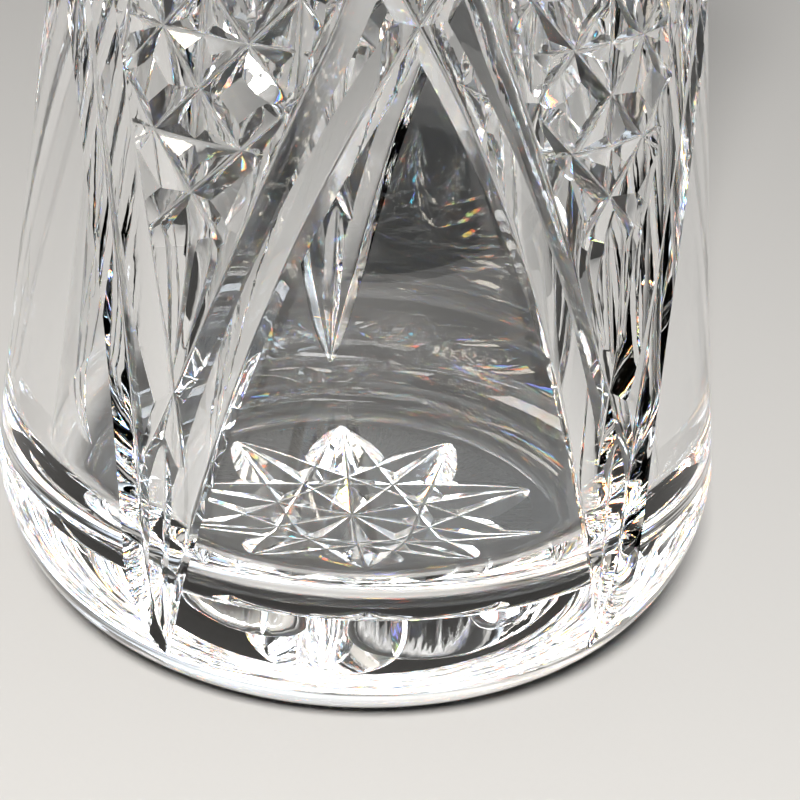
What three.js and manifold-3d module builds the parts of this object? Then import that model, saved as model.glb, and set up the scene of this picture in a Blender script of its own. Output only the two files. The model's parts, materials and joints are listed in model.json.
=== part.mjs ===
// Cut crystal vase: one thick piece of clear glass, turned in the blank and then mitre cut.
// Millimetres, +Z up, origin on the axis at the foot.
import * as THREE from "three";
import { mergeVertices } from "three/addons/utils/BufferGeometryUtils.js";
import Module from "manifold-3d";

// Blank
const height = 256; // foot to rim
const bodyRadius = 62; // widest ring, at the top of the heel
const heelHeight = 29; // where the rounded heel meets the wall
const footRadius = 38; // edge of the flat underside
const waistRadius = 49; // narrowest ring of the wall
const waistHeight = 160;
const waistSpread = 30; // how softly the wall turns at the waist
const wallThickness = 9;
const floorThickness = 20;
const floorCorner = 16; // rounding between the floor and the wall inside
const rimRounding = 1.6;
const roundSegments = 40;

// Panels
const panelCount = 5;
const frontPanel = 6.7; // degrees, where the clear panel nearest -Y is centred
const middleHeight = height / 2; // the cuts above it mirror the cuts below
const tipHeight = 13.4; // where a pair of bars meets on the heel
const crossingDrop = 10.9; // inner bars cross this far below the middle, over a clear panel
const outerCrossing = 58.7; // outer bars cross here under a patterned field
const innerBow = 0.76; // how far an inner bar sags below a straight line
const innerLean = 0.3; // and how much of that lies low down
const outerTurns = [22.8, 2.87, 3.07]; // degrees by the middle, steady and then quickening
const crossover = 14; // half the height over which a bar changes sides
const barTail = 46; // a bar dies out this far from the rim
const barDepth = 2.1;
const barInnerSlope = 1.75; // mitre width over depth on the clear side
const barOuterSlope = 1.05; // and on the patterned side

// Lattice inside each patterned field
const latticePitch = 15.4; // between level cuts
const latticeSpread = 8.4; // degrees from the field's centre line to a corner
const latticeRows = 2; // level cuts each side of the middle one
const latticeColumns = [0]; // upright cuts, counted from the field's centre line
const edgeMargin = 1.5; // degrees the lattice stops short of the outer bars
const latticeDepth = 1.5;
const latticeSlope = 1.5;
const fanDepth = 1.7;
const fanSlope = 1.2;
const fanFoot = 58; // the fans of cuts start here, just under the outer crossing
const fanCentreTop = 88;
const fanSideTop = 84;
const fanSpread = 6.6; // degrees

// Leaf on the heel between a pair of bars, and the star underneath
const leafTop = 50;
const leafDepth = 2.6;
const leafSlope = 1.25;
const starPoints = 10;
const starMargin = 1.5; // its points stop this far inside the edge of the foot
const starRadius = footRadius - starMargin;
const starTurn = 23; // degrees from +X to the first point
const starStep = 4; // a chord joins each point to the fourth one along
const starDepth = 1.9;
const starSlope = 1.5;

const clearance = 1.4; // how far a cutter stands out of the glass
const tipRun = 1.5; // how far a cut starts below the tip it belongs to

const wasm = await Module();
wasm.setup();
const turn = THREE.MathUtils.degToRad;

// Outer radius of the uncut blank at a height.
function outerRadius(z) {
  if (z < heelHeight) {
    const drop = (heelHeight - z) / heelHeight;
    return footRadius + (bodyRadius - footRadius) * Math.sqrt(1 - drop * drop);
  }
  return waistRadius + flare(z) * (bodyRadius - waistRadius) / flare(heelHeight);
}

function flare(z) {
  return Math.hypot(1, (z - waistHeight) / waistSpread) - 1;
}

// Point on the blank's outside, and the outward direction there.
function onWall(angle, z) {
  const r = outerRadius(z);
  return new THREE.Vector3(r * Math.sin(turn(angle)), -r * Math.cos(turn(angle)), z);
}

function outward(angle, z) {
  const low = Math.max(z - 0.4, 0.05);
  const slope = (outerRadius(z + 0.4) - outerRadius(low)) / (z + 0.4 - low);
  return new THREE.Vector3(Math.sin(turn(angle)), -Math.cos(turn(angle)), -slope).normalize();
}

// A mesh geometry as a solid for the booleans.
function solidOf(geometry) {
  const plain = geometry.index ? geometry.toNonIndexed() : geometry;
  const bare = new THREE.BufferGeometry().setAttribute("position", plain.attributes.position);
  const merged = mergeVertices(bare, 1e-4);
  return new wasm.Manifold(new wasm.Mesh({
    numProp: 3,
    vertProperties: merged.attributes.position.array,
    triVerts: new Uint32Array(merged.index.array),
  }));
}

// The blank: outside from the foot up to the rim, then the inside down to the floor.
function blank() {
  const profile = [new THREE.Vector2(0, 0), new THREE.Vector2(footRadius, 0)];
  for (const share of [0.16, 0.34, 0.54, 0.76, 1]) {
    const drop = turn(90 * share);
    profile.push(new THREE.Vector2(
      footRadius + (bodyRadius - footRadius) * Math.sin(drop),
      heelHeight * (1 - Math.cos(drop)),
    ));
  }
  const rings = [80, 128, 160, 192];
  for (const z of rings) profile.push(new THREE.Vector2(outerRadius(z), z));
  const rimRadius = outerRadius(height);
  profile.push(new THREE.Vector2(rimRadius, height - rimRounding));
  profile.push(new THREE.Vector2(rimRadius - rimRounding, height));
  profile.push(new THREE.Vector2(rimRadius - wallThickness + rimRounding, height));
  profile.push(new THREE.Vector2(rimRadius - wallThickness, height - rimRounding));
  for (const z of rings.slice().reverse()) {
    profile.push(new THREE.Vector2(outerRadius(z) - wallThickness, z));
  }
  const inside = bodyRadius - wallThickness;
  for (const share of [0, 0.33, 0.66, 1]) {
    const bend = turn(90 * share);
    profile.push(new THREE.Vector2(
      inside - floorCorner * (1 - Math.cos(bend)),
      floorThickness + floorCorner * (1 - Math.sin(bend)),
    ));
  }
  profile.push(new THREE.Vector2(0, floorThickness));
  return solidOf(new THREE.LatheGeometry(profile, roundSegments).rotateX(Math.PI / 2));
}

// A wheel cut: a V section carried through stations of {at, out, depth}.
function mitre(stations, leftSlope, rightSlope, reach) {
  const points = [];
  stations.forEach((station, i) => {
    const before = stations[Math.max(i - 1, 0)].at;
    const after = stations[Math.min(i + 1, stations.length - 1)].at;
    const along = after.clone().sub(before).normalize();
    const side = station.out.clone().cross(along).normalize();
    const bottom = station.at.clone().addScaledVector(station.out, -station.depth);
    const top = bottom.clone().addScaledVector(station.out, reach);
    points.push(bottom);
    points.push(top.clone().addScaledVector(side, reach * rightSlope));
    points.push(top.clone().addScaledVector(side, -reach * leftSlope));
  });
  const faces = [];
  const last = (stations.length - 1) * 3;
  for (let i = 0; i < last; i += 3) {
    for (let k = 0; k < 3; k += 1) {
      const a = i + k;
      const b = i + ((k + 1) % 3);
      faces.push(a, a + 3, b + 3, a, b + 3, b);
    }
  }
  faces.push(0, 1, 2, last, last + 2, last + 1);
  const geometry = new THREE.BufferGeometry().setFromPoints(points);
  geometry.setIndex(faces);
  const cutter = solidOf(geometry);
  if (cutter.volume() > 0) return cutter;
  geometry.setIndex(faces.slice().reverse());
  return solidOf(geometry);
}

// A wheel cut along a line on the wall; path(t) gives [angle, z] and depthAt(t) the depth.
function wallCut(path, depthAt, steps, leftSlope, rightSlope, reach) {
  const stations = [];
  for (let i = 0; i <= steps; i += 1) {
    const [angle, z] = path(i / steps);
    stations.push({ at: onWall(angle, z), out: outward(angle, z), depth: depthAt(i / steps) });
  }
  return mitre(stations, leftSlope, rightSlope, reach);
}

// Full depth along the middle, running out to nothing at both ends.
function runOut(depth, startShare, endShare) {
  return (t) => {
    const start = startShare > 0 ? Math.min(t / startShare, 1) : 1;
    const end = endShare > 0 ? Math.min((1 - t) / endShare, 1) : 1;
    const full = Math.sqrt(Math.min(start, end));
    return depth * full - 0.3 * (1 - full);
  };
}

// How far a bar has swung from its tip's centre line, in degrees, at a height.
function innerSwing(z) {
  const rise = (z - tipHeight) / (middleHeight - crossingDrop - tipHeight);
  const bow = rise * (1 - rise);
  return (180 / panelCount) * (rise - innerBow * bow + innerLean * bow * (1 - 2 * rise));
}

function outerSwing(z) {
  const rise = (z - outerCrossing) / (middleHeight - outerCrossing);
  return outerTurns[0] * rise + outerTurns[1] * rise * rise + outerTurns[2] * rise ** 3;
}

// One bar from its tip on the heel, over the middle, to where it dies under the rim.
function barPath(side) {
  const start = tipHeight - tipRun;
  const end = height - barTail;
  return (t) => {
    const z = start + (end - start) * t;
    const low = innerSwing(z);
    const high = 360 / panelCount - outerSwing(height - z);
    const blend = THREE.MathUtils.smoothstep(z, middleHeight - crossover, middleHeight + crossover);
    return [side * (low + (high - low) * blend), z];
  };
}

function barCutters() {
  const cutters = [];
  for (const side of [-1, 1]) {
    const lower = barPath(side);
    const upper = (t) => {
      const [angle, z] = lower(t);
      return [-angle, height - z];
    };
    const clearSide = side > 0 ? [barOuterSlope, barInnerSlope] : [barInnerSlope, barOuterSlope];
    const depthAt = runOut(barDepth, 0.07, 0.1);
    const reach = barDepth + clearance;
    cutters.push(wallCut(lower, depthAt, 9, clearSide[0], clearSide[1], reach));
    cutters.push(wallCut(upper, depthAt, 9, clearSide[0], clearSide[1], reach));
  }
  return cutters;
}

// Half the angle a field spans between its outer bars at a height.
function fieldEdge(z) {
  return outerSwing(Math.min(z, height - z)) - edgeMargin;
}

// Lattice of level, upright and diagonal cuts, mirrored about the middle height.
function latticeCutters() {
  const cutters = [];
  const reach = latticeDepth + clearance;
  const cut = (start, end, steps) => {
    const path = (t) => [start[0] + (end[0] - start[0]) * t, start[1] + (end[1] - start[1]) * t];
    const depthAt = runOut(latticeDepth, 0.12, 0.12);
    cutters.push(wallCut(path, depthAt, steps, latticeSlope, latticeSlope, reach));
  };
  for (let row = -latticeRows; row <= latticeRows; row += 1) {
    const z = middleHeight + row * latticePitch;
    cut([-fieldEdge(z), z], [fieldEdge(z), z], 4);
  }
  for (const column of latticeColumns) {
    const angle = column * 2 * latticeSpread;
    const half = (latticeRows + 0.5 - Math.abs(column)) * latticePitch;
    cut([angle, middleHeight - half], [angle, middleHeight + half], 2);
  }
  for (let row = -latticeRows; row < latticeRows; row += 1) {
    const centre = middleHeight + (row + 0.5) * latticePitch;
    const swing = (z) => ((z - centre) / latticePitch) * 2 * latticeSpread;
    let low = centre;
    let high = centre;
    while (Math.abs(swing(low)) < fieldEdge(low)) low -= 0.25;
    while (Math.abs(swing(high)) < fieldEdge(high)) high += 0.25;
    cut([swing(low), low], [swing(high), high], 3);
    cut([-swing(low), low], [-swing(high), high], 3);
  }
  return cutters;
}

// Three tapering cuts fanning up from the crossing of the outer bars, below and above.
function fanCutters() {
  const cutters = [];
  for (const spread of [-1, 0, 1]) {
    const top = spread === 0 ? fanCentreTop : fanSideTop;
    const path = (t) => [spread * fanSpread * t, fanFoot + (top - fanFoot) * t];
    const above = (t) => [spread * fanSpread * t, height - fanFoot - (top - fanFoot) * t];
    const depthAt = runOut(fanDepth, 0.3, 0.5);
    const reach = fanDepth + clearance;
    cutters.push(wallCut(path, depthAt, 3, fanSlope, fanSlope, reach));
    cutters.push(wallCut(above, depthAt, 3, fanSlope, fanSlope, reach));
  }
  return cutters;
}

// Broad leaf on the heel between a pair of bars.
function leafCutter() {
  const start = tipHeight - tipRun;
  const path = (t) => [0, start + (leafTop - start) * t];
  const depthAt = runOut(leafDepth, 0.4, 0.7);
  return wallCut(path, depthAt, 5, leafSlope, leafSlope, leafDepth + clearance);
}

// Star under the foot: chords from point to point and a cut along each diameter.
function starCutters() {
  const cutters = [];
  const down = new THREE.Vector3(0, 0, -1);
  const tip = (i) => {
    const angle = turn(starTurn + (360 / starPoints) * i);
    return new THREE.Vector3(starRadius * Math.cos(angle), starRadius * Math.sin(angle), 0);
  };
  const cut = (from, to) => {
    const stations = [0, 0.2, 0.8, 1].map((t) => ({
      at: from.clone().lerp(to, t),
      out: down,
      depth: runOut(starDepth, 0.2, 0.2)(t),
    }));
    cutters.push(mitre(stations, starSlope, starSlope, starDepth + clearance));
  };
  for (let i = 0; i < starPoints; i += 1) {
    cut(tip(i), tip(i + starStep));
    if (i < starPoints / 2) cut(tip(i), tip(i + starPoints / 2));
  }
  return cutters;
}

// Each patterned field's cuts, turned round to every field.
function fieldCutters() {
  const oneField = [...barCutters(), ...latticeCutters(), ...fanCutters(), leafCutter()];
  const cutters = [];
  for (let i = 0; i < panelCount; i += 1) {
    const angle = frontPanel + (360 / panelCount) * (i + 0.5);
    for (const cutter of oneField) cutters.push(cutter.rotate([0, 0, angle]));
  }
  return cutters;
}

const crystal = new THREE.MeshStandardMaterial({
  color: 0xf4f8f8,
  roughness: 0.03,
  metalness: 0,
  transparent: true,
  opacity: 0.35,
});

function meshOf(solid, name) {
  const made = solid.getMesh();
  const geometry = new THREE.BufferGeometry();
  geometry.setAttribute("position", new THREE.BufferAttribute(made.vertProperties, 3));
  geometry.setIndex(new THREE.BufferAttribute(made.triVerts, 1));
  const mesh = new THREE.Mesh(geometry, crystal);
  mesh.name = name;
  return mesh;
}

const cutters = wasm.Manifold.union([...fieldCutters(), ...starCutters()]);
const pieces = blank().subtract(cutters).simplify(0.1).decompose();
const vase = pieces.sort((a, b) => b.volume() - a.volume())[0]; // leaves out chips between cuts

const root = new THREE.Group();
root.add(meshOf(vase, "vase_body"));
export default root;
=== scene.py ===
import json
import math
import bpy
import numpy as np
from mathutils import Matrix, Vector

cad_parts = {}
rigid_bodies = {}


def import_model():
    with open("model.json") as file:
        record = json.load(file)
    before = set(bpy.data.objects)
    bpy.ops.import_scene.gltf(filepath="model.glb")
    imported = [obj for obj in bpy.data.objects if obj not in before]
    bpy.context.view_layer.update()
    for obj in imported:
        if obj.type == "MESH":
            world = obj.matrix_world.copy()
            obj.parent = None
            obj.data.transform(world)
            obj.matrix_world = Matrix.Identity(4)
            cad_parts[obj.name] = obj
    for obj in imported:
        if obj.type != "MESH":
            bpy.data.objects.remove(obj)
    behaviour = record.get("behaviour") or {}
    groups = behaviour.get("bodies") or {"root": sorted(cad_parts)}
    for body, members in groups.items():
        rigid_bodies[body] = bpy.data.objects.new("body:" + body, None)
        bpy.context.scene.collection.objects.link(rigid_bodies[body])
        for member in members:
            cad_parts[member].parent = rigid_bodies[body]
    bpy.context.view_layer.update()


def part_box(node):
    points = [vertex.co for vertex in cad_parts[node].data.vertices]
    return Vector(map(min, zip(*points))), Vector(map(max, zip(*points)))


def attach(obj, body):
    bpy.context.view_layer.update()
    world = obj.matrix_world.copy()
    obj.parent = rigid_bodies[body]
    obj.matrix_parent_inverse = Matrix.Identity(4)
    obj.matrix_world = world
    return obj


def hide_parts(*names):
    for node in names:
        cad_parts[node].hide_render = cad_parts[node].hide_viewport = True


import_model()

mm = 0.001
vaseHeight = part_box("vase_body")[1][2] / mm
middle = vaseHeight / 2
clearance = 1.0  # how far a wheel stands out of the glass, millimetres

# the turned blank, in millimetres
blank = {
    "bodyRadius": 62.0,  # widest ring, at the top of the heel
    "heelHeight": 29.0,
    "footRadius": 38.0,
    "waistRadius": 49.0,
    "waistHeight": 160.0,
    "waistSpread": 30.0,  # larger turns the waist more softly
    "wall": 9.0,
    "floor": 20.0,
    "floorCorner": 16.0,
    "rimRounding": 1.6,
    "segments": 300,
    "ringStep": 1.7,
}

# the pairs of long bars; angles are degrees round from a field's centre line
bars = {
    "fields": 5,
    "frontPanel": 6.7,  # where the clear panel nearest the front is centred
    "tipHeight": 13.4,
    "innerCrossing": 117.1,  # inner bars cross here over a clear panel
    "outerCrossing": 58.7,  # outer bars cross here under a field
    "depth": 2.2,
    "clearSlope": 1.75,  # groove width over depth on the clear side
    "fieldSlope": 1.05,
    "innerBow": 0.76,  # how far an inner bar sags below a straight line
    "innerLean": 0.3,  # and how much of that lies low down
    "outerRise": 62.0,  # height over which an outer bar makes the turns below
    "outerTurns": (20.4, 2.3, 2.2),  # degrees, steady and then quickening
    "crossover": 14.0,  # half the height over which a bar changes sides
    "tipRun": 1.6,
    "tail": 46.0,  # a bar dies out this far from the rim
}

lattice = {
    "pitch": 15.4,  # between level cuts
    "spread": 8.4,  # degrees from an upright to the next crossing
    "rows": 2,
    "depth": 1.7,
    "slope": 1.75,
    "margin": 0.6,  # degrees kept clear of the outer bars
}

# tapering leaves that rise from where the outer bars cross
fan = {
    "foot": 57.5,
    "centreTop": 89.0,
    "sideTop": 85.0,
    "sideSwing": 5.0,
    "depth": 2.3,
    "slope": 1.3,
}

# the leaf between a pair of bars on the heel
heelLeaf = {"top": 51.0, "depth": 3.0, "slope": 1.35}

star = {
    "points": 10,
    "radius": 36.5,
    "turn": 23.0,  # degrees from +X to the first point
    "skip": 4,  # each long cut joins a point to the fourth one along
    "depth": 2.0,
    "slope": 1.5,
}


def sweep(degrees):
    return math.radians(degrees)


def flare(z):
    return math.hypot(1.0, (z - blank["waistHeight"]) / blank["waistSpread"]) - 1.0


def outerRadius(z):
    body, foot, heel = blank["bodyRadius"], blank["footRadius"], blank["heelHeight"]
    if z < heel:
        drop = (heel - max(z, 0.0)) / heel
        return foot + (body - foot) * math.sqrt(max(1.0 - drop * drop, 0.0))
    return blank["waistRadius"] + flare(z) * (body - blank["waistRadius"]) / flare(heel)


def onWall(angle, z):
    r = outerRadius(z)
    return np.array([r * math.sin(sweep(angle)), -r * math.cos(sweep(angle)), z])


def outward(angle, z):
    low = max(z - 0.3, 0.05)
    slope = (outerRadius(z + 0.3) - outerRadius(low)) / (z + 0.3 - low)
    way = np.array([math.sin(sweep(angle)), -math.cos(sweep(angle)), -slope])
    return way / np.linalg.norm(way)


def addMesh(name, points, faces, cut):
    mesh = bpy.data.meshes.new(name)
    mesh.from_pydata((np.asarray(points) * mm).tolist(), [], faces)
    for surface in (polished, wheelCut):
        mesh.materials.append(surface)
    mesh.polygons.foreach_set("material_index", [int(cut)] * len(mesh.polygons))
    thing = bpy.data.objects.new(name, mesh)
    bpy.context.scene.collection.objects.link(thing)
    return thing


# ---- blank
def blankProfile():
    # from the middle of the foot up the outside, over the rim and down the inside
    foot, body, heel = blank["footRadius"], blank["bodyRadius"], blank["heelHeight"]
    outline = [(foot * 0.5, 0.0), (foot, 0.0)]
    for i in range(1, 25):
        bend = sweep(90.0 * i / 24)
        outline.append((foot + (body - foot) * math.sin(bend), heel * (1 - math.cos(bend))))
    top = vaseHeight - blank["rimRounding"]
    rings = int((top - heel) / blank["ringStep"])
    heights = [heel + (top - heel) * i / rings for i in range(1, rings + 1)]
    outline += [(outerRadius(z), z) for z in heights]
    half = blank["wall"] / 2
    lip = outerRadius(vaseHeight) - half
    for i in range(1, 16):
        bend = math.pi * i / 16
        outline.append((
            lip + half * math.copysign(abs(math.cos(bend)) ** 0.5, math.cos(bend)),
            top + blank["rimRounding"] * math.sin(bend) ** 0.5,
        ))
    inside = body - blank["wall"]
    cornerTop = blank["floor"] + blank["floorCorner"]
    outline += [(outerRadius(z) - blank["wall"], z) for z in reversed(heights) if z > cornerTop + 1]
    for i in range(0, 19):
        bend = sweep(90.0 * i / 18)
        outline.append((
            inside - blank["floorCorner"] * (1 - math.cos(bend)),
            blank["floor"] + blank["floorCorner"] * (1 - math.sin(bend)),
        ))
    outline.append(((inside - blank["floorCorner"]) * 0.5, blank["floor"]))
    return outline


def turnBlank():
    outline = blankProfile()
    count, rings = blank["segments"], len(outline)
    turn = np.arange(count) * 2 * math.pi / count
    ring = np.stack([np.sin(turn), -np.cos(turn), np.zeros(count)], 1)
    points = np.concatenate([ring * r + (0, 0, z) for r, z in outline])
    faces = []
    for k in range(rings - 1):
        for i in range(count):
            j = (i + 1) % count
            faces.append((k * count + i, k * count + j, (k + 1) * count + j, (k + 1) * count + i))
    points = np.concatenate([points, [(0, 0, 0), (0, 0, blank["floor"])]])
    last = (rings - 1) * count
    for i in range(count):
        j = (i + 1) % count
        faces.append((rings * count, j, i))
        faces.append((rings * count + 1, last + i, last + j))
    return addMesh("vase", points, faces, False)


# ---- wheel cuts
def grooveSection(slope, reach):
    # one flank of the V, rounded a little at the bottom as the wheel leaves it
    soft = 0.1
    across = [0.12, 0.3, 0.6, reach * slope]
    return [(s, math.hypot(s / slope, soft) - soft) for s in across]


def groove(stations, leftSlope, rightSlope, reach):
    left = [(-s, h) for s, h in reversed(grooveSection(leftSlope, reach))]
    section = left + [(0.0, 0.0)] + grooveSection(rightSlope, reach)
    points = []
    for i, (at, out, depth) in enumerate(stations):
        along = stations[min(i + 1, len(stations) - 1)][0] - stations[max(i - 1, 0)][0]
        side = np.cross(out, along)
        side /= np.linalg.norm(side)
        for s, h in section:
            points.append(at + out * (h - depth) + side * s)
    n = len(section)
    faces = []
    for i in range(len(stations) - 1):
        for k in range(n):
            a, b = i * n + k, i * n + (k + 1) % n
            faces.append((a, b, b + n, a + n))
    faces.append(tuple(reversed(range(n))))
    faces.append(tuple(range((len(stations) - 1) * n, len(stations) * n)))
    return points, faces


def wallGroove(path, depthAt, steps, leftSlope, rightSlope, reach):
    stations = []
    for i in range(steps + 1):
        angle, z = path(i / steps)
        stations.append((onWall(angle, z), outward(angle, z), depthAt(i / steps)))
    return groove(stations, leftSlope, rightSlope, reach)


def runOut(depth, start, end):
    # full depth along the middle, running out to nothing at the ends
    def depthAt(t):
        rise = min(t / start, 1.0) if start else 1.0
        fall = min((1.0 - t) / end, 1.0) if end else 1.0
        full = math.sqrt(max(min(rise, fall), 0.0))
        return depth * full - 0.25 * (1.0 - full)
    return depthAt


def innerSwing(z):
    # degrees from the tip's centre line that an inner bar has swung at a height
    rise = (z - bars["tipHeight"]) / (bars["innerCrossing"] - bars["tipHeight"])
    bow = rise * (1.0 - rise)
    lean = bars["innerLean"] * bow * (1.0 - 2.0 * rise)
    return 180.0 / bars["fields"] * (rise - bars["innerBow"] * bow + lean)


def outerSwing(z):
    rise = (z - bars["outerCrossing"]) / bars["outerRise"]
    steady, quick, quicker = bars["outerTurns"]
    return steady * rise + quick * rise * rise + quicker * rise ** 3


def fieldEdge(z):
    return outerSwing(min(z, vaseHeight - z)) - lattice["margin"]


def smooth(t):
    t = min(max(t, 0.0), 1.0)
    return t * t * (3.0 - 2.0 * t)


def barGrooves():
    made = []
    start, end = bars["tipHeight"] - bars["tipRun"], vaseHeight - bars["tail"]

    def swing(z):
        blend = smooth((z - middle + bars["crossover"]) / (2 * bars["crossover"]))
        high = 360.0 / bars["fields"] - outerSwing(vaseHeight - z)
        return innerSwing(z) + (high - innerSwing(z)) * blend

    for side in (-1, 1):
        for flip in (False, True):
            def path(t, side=side, flip=flip):
                z = start + (end - start) * t
                angle = side * swing(z)
                return (-angle, vaseHeight - z) if flip else (angle, z)
            slopes = (bars["fieldSlope"], bars["clearSlope"])
            slopes = slopes if side > 0 else slopes[::-1]
            depthAt = runOut(bars["depth"], 0.06, 0.1)
            made.append(wallGroove(path, depthAt, 90, *slopes, bars["depth"] + clearance))
    return made


def latticeGrooves():
    made = []
    pitch, spread, rows = lattice["pitch"], lattice["spread"], lattice["rows"]

    def cut(low, high, steps):
        def path(t):
            return low[0] + (high[0] - low[0]) * t, low[1] + (high[1] - low[1]) * t
        made.append(wallGroove(
            path, runOut(lattice["depth"], 0.1, 0.1), steps,
            lattice["slope"], lattice["slope"], lattice["depth"] + clearance,
        ))

    for row in range(-rows, rows + 1):
        z = middle + row * pitch
        cut((-fieldEdge(z), z), (fieldEdge(z), z), 24)
    for column in (-1, 0, 1):
        half = (rows + 0.5 - abs(column)) * pitch
        cut((column * 2 * spread, middle - half), (column * 2 * spread, middle + half), 16)
    for row in range(-rows - 1, rows + 1):
        centre = middle + (row + 0.5) * pitch

        def swing(z):
            return (z - centre) / pitch * 2 * spread

        low = high = centre
        while abs(swing(low)) < fieldEdge(low):
            low -= 0.1
        while abs(swing(high)) < fieldEdge(high):
            high += 0.1
        cut((swing(low), low), (swing(high), high), 24)
        cut((-swing(low), low), (-swing(high), high), 24)
    return made


def fanGrooves():
    made = []
    for spread in (-1, 0, 1):
        top = fan["sideTop"] if spread else fan["centreTop"]
        for flip in (False, True):
            def path(t, spread=spread, top=top, flip=flip):
                z = fan["foot"] + (top - fan["foot"]) * t
                return spread * fan["sideSwing"] * t, vaseHeight - z if flip else z
            made.append(wallGroove(
                path, runOut(fan["depth"], 0.75, 0.16), 20,
                fan["slope"], fan["slope"], fan["depth"] + clearance,
            ))
    return made


def heelGroove():
    start = bars["tipHeight"] - 1.0

    def path(t):
        return 0.0, start + (heelLeaf["top"] - start) * t
    return wallGroove(
        path, runOut(heelLeaf["depth"], 0.4, 0.65), 30, heelLeaf["slope"], heelLeaf["slope"],
        heelLeaf["depth"] + 1.2,
    )


def starGrooves():
    made = []
    down = np.array([0.0, 0.0, -1.0])

    def tip(i):
        turn = sweep(star["turn"] + 360.0 / star["points"] * i)
        return np.array([star["radius"] * math.cos(turn), star["radius"] * math.sin(turn), 0.0])

    def cut(a, b):
        depthAt = runOut(star["depth"], 0.16, 0.16)
        stations = [(a + (b - a) * t, down, depthAt(t)) for t in np.linspace(0, 1, 25)]
        made.append(groove(stations, star["slope"], star["slope"], star["depth"] + clearance))

    for i in range(star["points"]):
        cut(tip(i), tip(i + star["skip"]))
        if i < star["points"] / 2:
            cut(tip(i), tip(i + star["points"] // 2))
    return made


def turned(points, degrees):
    c, s = math.cos(sweep(degrees)), math.sin(sweep(degrees))
    return np.asarray(points) @ np.array([[c, s, 0], [-s, c, 0], [0, 0, 1]])


def cutVase():
    vase = turnBlank()
    print("blank turned:", len(vase.data.polygons), "faces")
    bench = bpy.data.collections.new("cuttingBench")
    bpy.context.scene.collection.children.link(bench)
    field = barGrooves() + latticeGrooves() + fanGrooves() + [heelGroove()]
    cuts = []
    for i in range(bars["fields"]):
        angle = bars["frontPanel"] + 360.0 / bars["fields"] * (i + 0.5)
        cuts += [(turned(points, angle), faces) for points, faces in field]
    cuts += starGrooves()
    for k, (points, faces) in enumerate(cuts):
        wheel = addMesh(f"cut{k:03d}", points, faces, True)
        bpy.context.scene.collection.objects.unlink(wheel)
        bench.objects.link(wheel)
    print("cuts laid out:", len(cuts))
    bite = vase.modifiers.new("cuts", "BOOLEAN")
    bite.solver = "MANIFOLD"
    bite.operation = "DIFFERENCE"
    bite.operand_type = "COLLECTION"
    bite.collection = bench
    shaped = vase.evaluated_get(bpy.context.evaluated_depsgraph_get())
    mesh = bpy.data.meshes.new_from_object(shaped)
    vase.modifiers.clear()
    vase.data = mesh
    for wheel in list(bench.objects):
        spare = wheel.data
        bpy.data.objects.remove(wheel)
        bpy.data.meshes.remove(spare)
    bpy.data.collections.remove(bench)
    print("cut vase:", len(mesh.polygons), "faces")
    return vase


def blankNormals(z, r, inside):
    # true outward direction (away from the axis, up) of the turned surface
    foot, body, heel = blank["footRadius"], blank["bodyRadius"], blank["heelHeight"]
    slope = (z - blank["waistHeight"]) / blank["waistSpread"] ** 2
    slope = slope / np.hypot(1.0, (z - blank["waistHeight"]) / blank["waistSpread"])
    slope *= (body - blank["waistRadius"]) / flare(heel)
    away, up = np.ones_like(z), -slope
    low = (z < heel) & ~inside
    away = np.where(low, (r - foot) / (body - foot) ** 2, away)
    up = np.where(low, (z - heel) / heel ** 2, up)
    centre = body - blank["wall"] - blank["floorCorner"]
    bend = inside & (z < blank["floor"] + blank["floorCorner"])
    away = np.where(bend, np.maximum(r - centre, 0.0), away)
    up = np.where(bend, z - blank["floor"] - blank["floorCorner"], up)
    size = np.hypot(away, up)
    flip = np.where(inside, -1.0, 1.0)
    return away / size * flip, up / size * flip


def smoothVase(vase):
    # polished curves keep the turned blank's true roundness; the cut edges stay crisp
    mesh = vase.data
    mesh.polygons.foreach_set("use_smooth", [True] * len(mesh.polygons))
    mesh.set_sharp_from_angle(angle=sweep(17.0))
    loops, faces = len(mesh.loops), len(mesh.polygons)
    normals = np.empty(loops * 3, np.float32)
    mesh.corner_normals.foreach_get("vector", normals)
    normals = normals.reshape(-1, 3)
    points = np.empty(len(mesh.vertices) * 3, np.float32)
    mesh.vertices.foreach_get("co", points)
    points = points.reshape(-1, 3) / mm
    corner = np.empty(loops, np.int32)
    mesh.loops.foreach_get("vertex_index", corner)
    total = np.empty(faces, np.int32)
    mesh.polygons.foreach_get("loop_total", total)
    owner = np.repeat(np.arange(faces), total)
    cutFace = np.empty(faces, np.int32)
    mesh.polygons.foreach_get("material_index", cutFace)
    centre = np.empty(faces * 3, np.float32)
    mesh.polygons.foreach_get("center", centre)
    centre = centre.reshape(-1, 3) / mm
    outer = np.array([outerRadius(z) for z in centre[:, 2]])
    inside = (np.hypot(centre[:, 0], centre[:, 1]) < outer - blank["wall"] / 2) & (centre[:, 2] > 1.0)
    rim = centre[:, 2] > vaseHeight - blank["rimRounding"]
    use = ((cutFace == 0) & ~rim)[owner]
    spot = points[corner]
    radius = np.hypot(spot[:, 0], spot[:, 1])
    away, up = blankNormals(spot[:, 2], radius, inside[owner])
    safe = np.maximum(radius, 1e-6)
    true = np.stack([spot[:, 0] / safe * away, spot[:, 1] / safe * away, up], 1)
    normals[use] = true[use]
    mesh.normals_split_custom_set(normals.tolist())
    print("vase smoothed")


# ---- crystal
crystal = {
    "colour": (0.985, 0.99, 0.992, 1.0),
    "ior": 1.56,
    "scratchDepth": 0.06,
    "cutTexture": 0.03,
}


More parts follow.
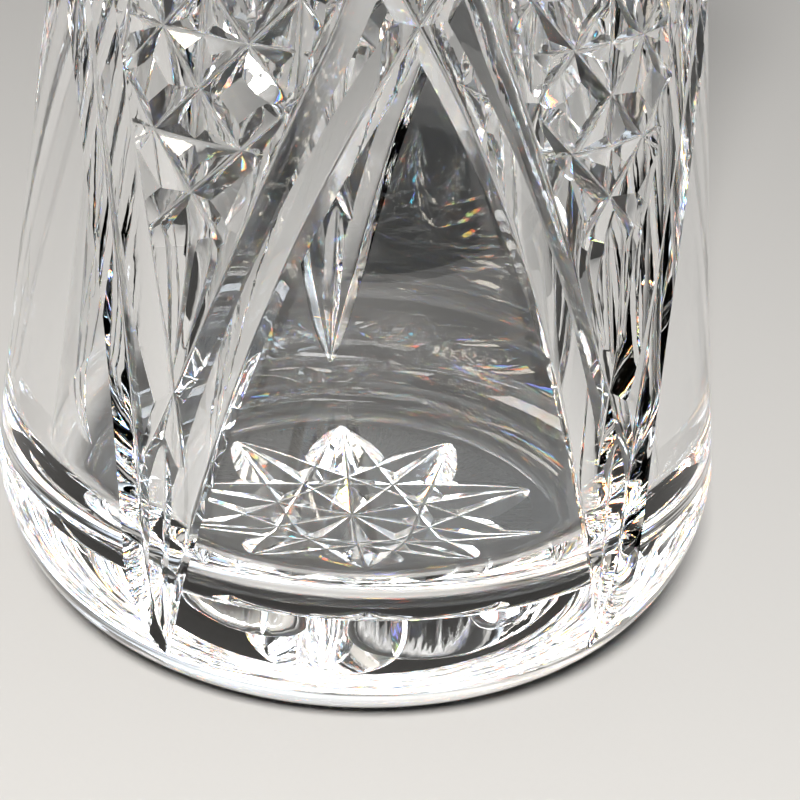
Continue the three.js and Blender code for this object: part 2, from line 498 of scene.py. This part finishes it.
def glassMaterial(name, scratched):
    material = bpy.data.materials.new(name)
    material.use_nodes = True
    nodes, links = material.node_tree.nodes, material.node_tree.links
    shader = nodes["Principled BSDF"]
    shader.inputs["Base Color"].default_value = crystal["colour"]
    shader.inputs["Transmission Weight"].default_value = 1.0
    shader.inputs["IOR"].default_value = crystal["ior"]
    place = nodes.new("ShaderNodeTexCoord")

    def layer(turn, stretch, scale, low, high):
        lay = nodes.new("ShaderNodeMapping")
        lay.inputs["Rotation"].default_value = turn
        lay.inputs["Scale"].default_value = stretch
        grain = nodes.new("ShaderNodeTexNoise")
        grain.inputs["Scale"].default_value = scale
        grain.inputs["Detail"].default_value = 2.0
        keep = nodes.new("ShaderNodeMapRange")
        keep.inputs["From Min"].default_value = low
        keep.inputs["From Max"].default_value = high
        links.new(place.outputs["Object"], lay.inputs["Vector"])
        links.new(lay.outputs["Vector"], grain.inputs["Vector"])
        links.new(grain.outputs["Fac"], keep.inputs["Value"])
        return keep.outputs["Result"]

    def both(a, b, way="MAXIMUM"):
        join = nodes.new("ShaderNodeMath")
        join.operation = way
        links.new(a, join.inputs[0])
        links.new(b, join.inputs[1])
        return join.outputs["Value"]

    if scratched:
        # hairline scratches in several directions, and a few small pits
        marks = layer((0.3, 0.9, 0.2), (1.0, 0.02, 1.0), 4200.0, 0.74, 0.78)
        marks = both(marks, layer((1.2, 0.1, 0.8), (1.0, 0.015, 1.0), 5200.0, 0.74, 0.78))
        marks = both(marks, layer((0.7, 1.9, 1.4), (1.0, 0.025, 1.0), 3600.0, 0.75, 0.79))
        marks = both(marks, layer((0.0, 0.0, 0.0), (1.0, 1.0, 1.0), 1900.0, 0.78, 0.82))
        worn = layer((0.4, 0.2, 0.1), (1.0, 1.0, 1.0), 38.0, 0.50, 0.68)
        marks = both(marks, worn, "MULTIPLY")
        depth = crystal["scratchDepth"]
        rough = 0.22
    else:
        # the last faint lines of the polishing wheel
        marks = layer((0.0, 0.0, 0.0), (1.0, 1.0, 0.12), 700.0, 0.35, 0.75)
        depth = crystal["cutTexture"]
        rough = 0.02
    gloss = nodes.new("ShaderNodeMapRange")
    gloss.inputs["To Min"].default_value = 0.0
    gloss.inputs["To Max"].default_value = rough
    links.new(marks, gloss.inputs["Value"])
    links.new(gloss.outputs["Result"], shader.inputs["Roughness"])
    bump = nodes.new("ShaderNodeBump")
    bump.inputs["Strength"].default_value = depth
    bump.inputs["Distance"].default_value = 0.0002
    links.new(marks, bump.inputs["Height"])
    links.new(bump.outputs["Normal"], shader.inputs["Normal"])
    return material


polished = glassMaterial("polishedCrystal", True)
wheelCut = glassMaterial("wheelCutCrystal", False)

vase = cutVase()
smoothVase(vase)
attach(vase, "root")
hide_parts("vase_body")

# ---- floor, lights and camera
studio = {
    "floorColour": (0.74, 0.73, 0.715, 1.0),
    "floorHalf": 3.0,
    "bounces": 28,
    "floorSky": 0.04,  # how much the room lights the floor
    "glassSky": 1.35,  # and how bright it looks in the glass
    "backdrop": 0.62,  # the plain wall beyond the floor
    "darkBelow": 0.16,
    "brightAbove": 0.50,
    "warmSide": (1.0, 0.93, 0.83, 1.0),
    "coolSide": (0.80, 0.90, 1.0, 1.0),
    "patchScale": 1.7,
}

# name: place, aim, width and height in metres, watts, colour, lights the floor too
lamps = {
    "frontKey": ((-0.06, -1.15, 1.00), (0, 0.05, 0.05), (0.26, 0.26), 34.0, (1.0, 0.98, 0.95), True),
    "warmLeft": ((-0.70, -0.10, 0.90), (0, 0, 0.10), (0.35, 0.6), 13.0, (1.0, 0.90, 0.76), False),
    "coolRight": ((0.70, 0.05, 0.92), (0, 0, 0.12), (0.35, 0.6), 13.0, (0.80, 0.89, 1.0), False),
    "overhead": ((0.05, 0.10, 0.95), (0, 0, 0.05), (0.5, 0.25), 11.0, (1.0, 0.99, 0.97), False),
    "backRight": ((0.30, 0.65, 0.90), (0, 0, 0.12), (0.2, 0.4), 6.5, (0.88, 0.94, 1.0), False),
    "backLeft": ((-0.35, 0.65, 0.88), (0, 0, 0.12), (0.2, 0.4), 6.5, (1.0, 0.94, 0.86), False),
}

# narrow coloured strips side by side, for the glints of colour that lead crystal splits off
glints = {
    "colours": (
        (1.0, 0.16, 0.05),
        (1.0, 0.62, 0.08),
        (0.75, 1.0, 0.3),
        (0.12, 0.75, 1.0),
        (0.2, 0.25, 1.0),
    ),
    "places": ((-0.62, 0.30, 0.62), (0.55, -0.45, 0.70), (-0.30, -0.55, 0.85)),
    "spacing": 0.035,
    "size": (0.03, 0.45),
    "watts": 1.1,
}


flag = {"radius": 0.52, "swing": 75.0, "low": 0.002, "high": 0.42}


def makeFloor():
    mesh = bpy.data.meshes.new("floor")
    half = studio["floorHalf"]
    corners = [(-half, -half, 0), (half, -half, 0), (half, half, 0), (-half, half, 0)]
    mesh.from_pydata(corners, [], [(0, 1, 2, 3)])
    floor = bpy.data.objects.new("floor", mesh)
    bpy.context.scene.collection.objects.link(floor)
    material = bpy.data.materials.new("paleFloor")
    material.use_nodes = True
    shader = material.node_tree.nodes["Principled BSDF"]
    shader.inputs["Base Color"].default_value = studio["floorColour"]
    shader.inputs["Roughness"].default_value = 0.6
    shader.inputs["Specular IOR Level"].default_value = 0.2
    mesh.materials.append(material)
    return floor


def makeFlag():
    # black card round the front, seen only in the glass, so the clear panels read dark
    steps = 24
    turns = [sweep(-flag["swing"] + 2 * flag["swing"] * i / steps) for i in range(steps + 1)]
    r, low, high = flag["radius"], flag["low"], flag["high"]
    points = [(r * math.sin(t), -r * math.cos(t), z) for t in turns for z in (low, high)]
    faces = [(2 * i, 2 * i + 2, 2 * i + 3, 2 * i + 1) for i in range(steps)]
    mesh = bpy.data.meshes.new("flag")
    mesh.from_pydata(points, [], faces)
    card = bpy.data.objects.new("flag", mesh)
    bpy.context.scene.collection.objects.link(card)
    material = bpy.data.materials.new("blackCard")
    material.use_nodes = True
    shader = material.node_tree.nodes["Principled BSDF"]
    shader.inputs["Base Color"].default_value = (0.004, 0.004, 0.004, 1)
    shader.inputs["Roughness"].default_value = 0.9
    shader.inputs["Specular IOR Level"].default_value = 0.0
    mesh.materials.append(material)
    card.visible_camera = False
    card.visible_diffuse = False
    card.visible_shadow = False


def hangLamp(name, place, aim, size, watts, colour, only=None, shift=0.0):
    data = bpy.data.lights.new(name, "AREA")
    data.shape = "RECTANGLE"
    data.size, data.size_y = size
    data.energy = watts
    data.color = colour
    lamp = bpy.data.objects.new(name, data)
    lamp.rotation_mode = "QUATERNION"
    lamp.rotation_quaternion = (Vector(aim) - Vector(place)).to_track_quat("-Z", "Y")
    lamp.location = Vector(place) + lamp.rotation_quaternion @ Vector((shift, 0, 0))
    lamp.visible_camera = False
    bpy.context.scene.collection.objects.link(lamp)
    if only:
        lamp.light_linking.receiver_collection = only


def makeLamps():
    onVase = bpy.data.collections.new("lampsOnVase")
    onVase.objects.link(vase)
    for name, (place, aim, size, watts, colour, onFloor) in lamps.items():
        hangLamp(name, place, aim, size, watts, colour, None if onFloor else onVase)
    for place in glints["places"]:
        for k, colour in enumerate(glints["colours"]):
            shift = (k - len(glints["colours"]) // 2) * glints["spacing"]
            hangLamp("glint", place, (0, 0, 0.1), glints["size"], glints["watts"], colour, onVase, shift)
    print("lamps hung")


def makeSky():
    # a dim room for the floor; in the glass, a brighter one with soft bright and dark patches
    world = bpy.data.worlds.new("studio")
    world.use_nodes = True
    bpy.context.scene.world = world
    nodes, links = world.node_tree.nodes, world.node_tree.links
    place = nodes.new("ShaderNodeTexCoord")
    split = nodes.new("ShaderNodeSeparateXYZ")
    links.new(place.outputs["Generated"], split.inputs["Vector"])
    sides = nodes.new("ShaderNodeMapRange")
    sides.inputs["From Min"].default_value = -0.6
    sides.inputs["From Max"].default_value = 0.6
    links.new(split.outputs["X"], sides.inputs["Value"])
    tint = nodes.new("ShaderNodeMix")
    tint.data_type = "RGBA"
    tint.inputs["A"].default_value = studio["warmSide"]
    tint.inputs["B"].default_value = studio["coolSide"]
    links.new(sides.outputs["Result"], tint.inputs["Factor"])
    patches = nodes.new("ShaderNodeTexNoise")
    patches.inputs["Scale"].default_value = studio["patchScale"]
    patches.inputs["Detail"].default_value = 1.0
    links.new(place.outputs["Generated"], patches.inputs["Vector"])
    bright = nodes.new("ShaderNodeMapRange")
    bright.inputs["From Min"].default_value = 0.44
    bright.inputs["From Max"].default_value = 0.58
    bright.inputs["To Min"].default_value = 0.03
    links.new(patches.outputs["Fac"], bright.inputs["Value"])
    path = nodes.new("ShaderNodeLightPath")
    pale = nodes.new("ShaderNodeMix")
    pale.inputs["B"].default_value = studio["backdrop"]
    links.new(path.outputs["Is Camera Ray"], pale.inputs["Factor"])
    above = nodes.new("ShaderNodeMapRange")  # the room is dark near the level of the table
    above.inputs["From Min"].default_value = studio["darkBelow"]
    above.inputs["From Max"].default_value = studio["brightAbove"]
    above.inputs["To Max"].default_value = studio["glassSky"]
    links.new(split.outputs["Z"], above.inputs["Value"])
    inGlass = nodes.new("ShaderNodeMath")
    inGlass.operation = "MULTIPLY"
    links.new(bright.outputs["Result"], inGlass.inputs[0])
    links.new(above.outputs["Result"], inGlass.inputs[1])
    strength = nodes.new("ShaderNodeMix")
    strength.inputs["B"].default_value = studio["floorSky"]
    links.new(path.outputs["Is Diffuse Ray"], strength.inputs["Factor"])
    links.new(inGlass.outputs["Value"], strength.inputs["A"])
    links.new(tint.outputs["Result"], nodes["Background"].inputs["Color"])
    links.new(strength.outputs["Result"], pale.inputs["A"])
    links.new(pale.outputs["Result"], nodes["Background"].inputs["Strength"])


view = {
    "place": (0.0, -0.36942, 0.21298),
    "pitch": -25.71,
    "turn": 1.123,  # to the right of +Y
    "roll": 3.416,
    "lens": 105.95,
}


def makeCamera():
    pitch, turn, roll = (sweep(view[k]) for k in ("pitch", "turn", "roll"))
    level = math.cos(pitch)
    ahead = Vector((math.sin(turn) * level, math.cos(turn) * level, math.sin(pitch)))
    right = ahead.cross(Vector((0, 0, 1))).normalized()
    up = right.cross(ahead)
    across = math.cos(roll) * right + math.sin(roll) * up
    upright = -math.sin(roll) * right + math.cos(roll) * up
    data = bpy.data.cameras.new("camera")
    data.sensor_width = 36.0
    data.lens = view["lens"]
    data.clip_start = 0.01
    camera = bpy.data.objects.new("camera", data)
    facing = Matrix((across, upright, -ahead)).transposed().to_4x4()
    camera.matrix_world = Matrix.Translation(view["place"]) @ facing
    bpy.context.scene.collection.objects.link(camera)
    bpy.context.scene.camera = camera


makeFloor()
makeFlag()
makeLamps()
makeSky()
makeCamera()
cycles = bpy.context.scene.cycles
cycles.max_bounces = studio["bounces"]
cycles.transmission_bounces = studio["bounces"]
cycles.glossy_bounces = 10
cycles.caustics_refractive = False
cycles.caustics_reflective = False
bpy.context.scene.view_settings.view_transform = "Standard"
print("studio set")
